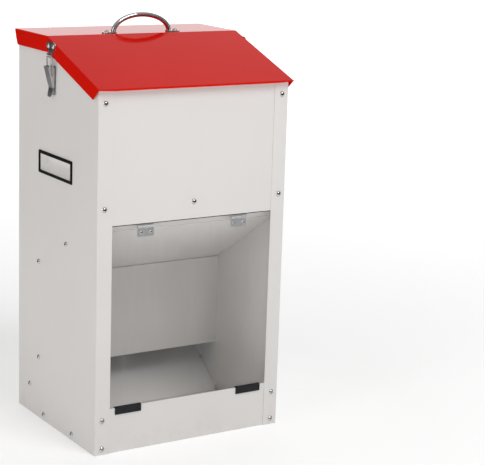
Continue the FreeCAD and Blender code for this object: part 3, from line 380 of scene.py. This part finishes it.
def black_plastic():
    """Grained black moulding."""
    r = Recipe("black_plastic", Specular_IOR_Level=0.1)
    fade = r.noise(scale=30.0, detail=4.0)
    r.colour(r.mix(fade, rgb(0.003, 0.0025, 0.0025), rgb(0.007, 0.006, 0.006)))
    worn = r.noise(scale=150.0, detail=4.0)
    r.roughness(r.remap(worn, low=0.3, high=0.7, to_low=0.38, to_high=0.52))
    r.normal(r.bump(r.cells(scale=1500.0), distance=0.00006, strength=0.5))
    return r.mat


def pale_grey_plastic():
    """Grained pale moulding of the grip pockets."""
    r = Recipe("pale_grey_plastic", Specular_IOR_Level=0.45)
    fade = r.noise(scale=14.0, detail=4.0)
    r.colour(r.mix(fade, rgb(0.88, 0.865, 0.85), rgb(0.94, 0.925, 0.91)))
    worn = r.noise(scale=120.0, detail=4.0)
    r.roughness(r.remap(worn, low=0.3, high=0.7, to_low=0.45, to_high=0.60))
    r.normal(r.bump(r.cells(scale=1300.0), distance=0.00005, strength=0.5))
    return r.mat


def black_rubber():
    """Dull rubber, a shade paler where it is dusty."""
    r = Recipe("black_rubber", Specular_IOR_Level=0.3)
    dusty = r.noise(scale=60.0, detail=5.0)
    r.colour(r.mix(dusty, rgb(0.009, 0.010, 0.013), rgb(0.018, 0.019, 0.023)))
    worn = r.noise(scale=300.0, detail=4.0)
    r.roughness(r.remap(worn, low=0.3, high=0.7, to_low=0.62, to_high=0.80))
    r.normal(r.bump(r.noise(scale=1200.0), distance=0.00005, strength=0.6))
    return r.mat


def clear_plastic():
    """A clear sheet that faces Y, with upright scuffs; its cut edges get the sheet's own tint
    seen through its thickness, painted darker blue-grey and more opaque as a stand-in for how
    light runs through the edge.
    """
    r = Recipe("clear_plastic", Roughness=0.06)
    sides = r.node("ShaderNodeTexCoord").outputs["Normal"]
    facing = r.math("ABSOLUTE", r.axis("Y", sides), 0.0)
    # Faces that do not face Y are the cut edges: partly the sheet's tint through its
    # thickness, partly painted shade and opacity for light running through the edge.
    painted_edge_look = r.math("LESS_THAN", facing, 0.5)
    r.colour(r.mix(painted_edge_look, rgb(0.86, 0.89, 0.90), rgb(0.40, 0.47, 0.50)))
    upright = r.stretched((1.0, 1.0, 0.12))
    scuffs = r.noise(scale=34.0, detail=8.0, roughness=0.8, at=upright)
    haze = r.remap(scuffs, low=0.5, high=0.8, to_low=0.03, to_high=0.09)
    painted_edge_opacity = r.math("MULTIPLY", painted_edge_look, 0.6)
    r.feed(r.surface.inputs["Alpha"], r.math("MAXIMUM", haze, painted_edge_opacity))
    return r.mat


def soften_edges(obj, width):
    """Round the cut and folded edges of a sheet by a hair, as a coat of paint leaves them."""
    weld = obj.modifiers.new("weld", "WELD")
    weld.merge_threshold = WELD_GAP
    flats = obj.modifiers.new("flats", "DECIMATE")
    flats.decimate_type = "DISSOLVE"
    flats.angle_limit = FLAT_ANGLE
    bevel = obj.modifiers.new("bevel", "BEVEL")
    bevel.width = width
    bevel.segments = EDGE_STEPS
    bevel.limit_method = "ANGLE"
    bevel.angle_limit = SHARP_ANGLE
    even = obj.modifiers.new("even", "WEIGHTED_NORMAL")
    even.keep_sharp = True


def dress_cad_nodes():
    """Give every CAD node the finish of its slot, and the painted sheets their soft edges."""
    finishes = {
        "white_powder_coat": white_powder_coat(),
        "red_gloss_paint": red_gloss_paint(),
        "chrome_bar": chrome_bar(),
        "bright_steel": bright_steel(),
        "latch_steel": latch_steel(),
        "zinc_steel": zinc_steel(),
        "black_plastic": black_plastic(),
        "pale_grey_plastic": pale_grey_plastic(),
        "black_rubber": black_rubber(),
        "clear_plastic": clear_plastic(),
    }
    for name, obj in nodes.items():
        for place in obj.material_slots:
            place.link = "OBJECT"
            place.material = finishes[slot_of[name]]
        if slot_of[name] in EDGE_WIDTHS:
            soften_edges(obj, EDGE_WIDTHS[slot_of[name]])
    return finishes


# -------------------------------------------------------------- small pieces

# A thin black bar under the edge above the mouth: a painted shadow line, sized here.
SHADOW_STRIP_HALF_X = 0.1725
SHADOW_STRIP_MIDDLE = (-0.14575, 0.3773)
SHADOW_STRIP_HALF_Y = 0.0006
SHADOW_STRIP_HALF_Z = 0.0007
SHADOW_STRIP_SIDES = 12


def add_piece(name, bm, body, slot):
    """A smooth-shaded piece from a finished bmesh, which rides on one body."""
    bmesh.ops.recalc_face_normals(bm, faces=bm.faces)
    mesh = bpy.data.meshes.new(name)
    bm.to_mesh(mesh)
    bm.free()
    for face in mesh.polygons:
        face.use_smooth = True
    piece = bpy.data.objects.new(name, mesh)
    bpy.context.scene.collection.objects.link(piece)
    mesh.materials.append(finishes[slot])
    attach(piece, body)


def swept_along_x(bm, ring, x0, x1):
    """A closed bar between two x planes on a ring of (y, z) points."""
    ends = [[bm.verts.new((x, y, z)) for y, z in ring] for x in (x0, x1)]
    count = len(ring)
    for step in range(count):
        after = (step + 1) % count
        bm.faces.new((ends[0][step], ends[0][after], ends[1][after], ends[1][step]))
    bm.faces.new(ends[0][::-1])
    bm.faces.new(ends[1])


def mouth_shadow_strip():
    """A thin black bar under the cut edge above the mouth, a painted shadow line where the
    panel's edge shades the gap behind it.
    """
    y, z = SHADOW_STRIP_MIDDLE
    ring = []
    for step in range(SHADOW_STRIP_SIDES):
        turn = math.tau * step / SHADOW_STRIP_SIDES
        ring.append((y + SHADOW_STRIP_HALF_Y * math.cos(turn), z + SHADOW_STRIP_HALF_Z * math.sin(turn)))
    bm = bmesh.new()
    swept_along_x(bm, ring, -SHADOW_STRIP_HALF_X, SHADOW_STRIP_HALF_X)
    # The black rubber finish makes the bar read as the dark shadow line under the panel's
    # edge.
    add_piece("mouth_shadow_strip", bm, "body", "black_rubber")


# --------------------------------------------------------------------- build

make_camera()
make_floor()
make_world()
make_flag("side_flag", SIDE_FLAG)
make_flag("front_flag", FRONT_FLAG)
make_lights()
finishes = dress_cad_nodes()
mouth_shadow_strip()
bpy.context.scene.view_settings.view_transform = "Standard"
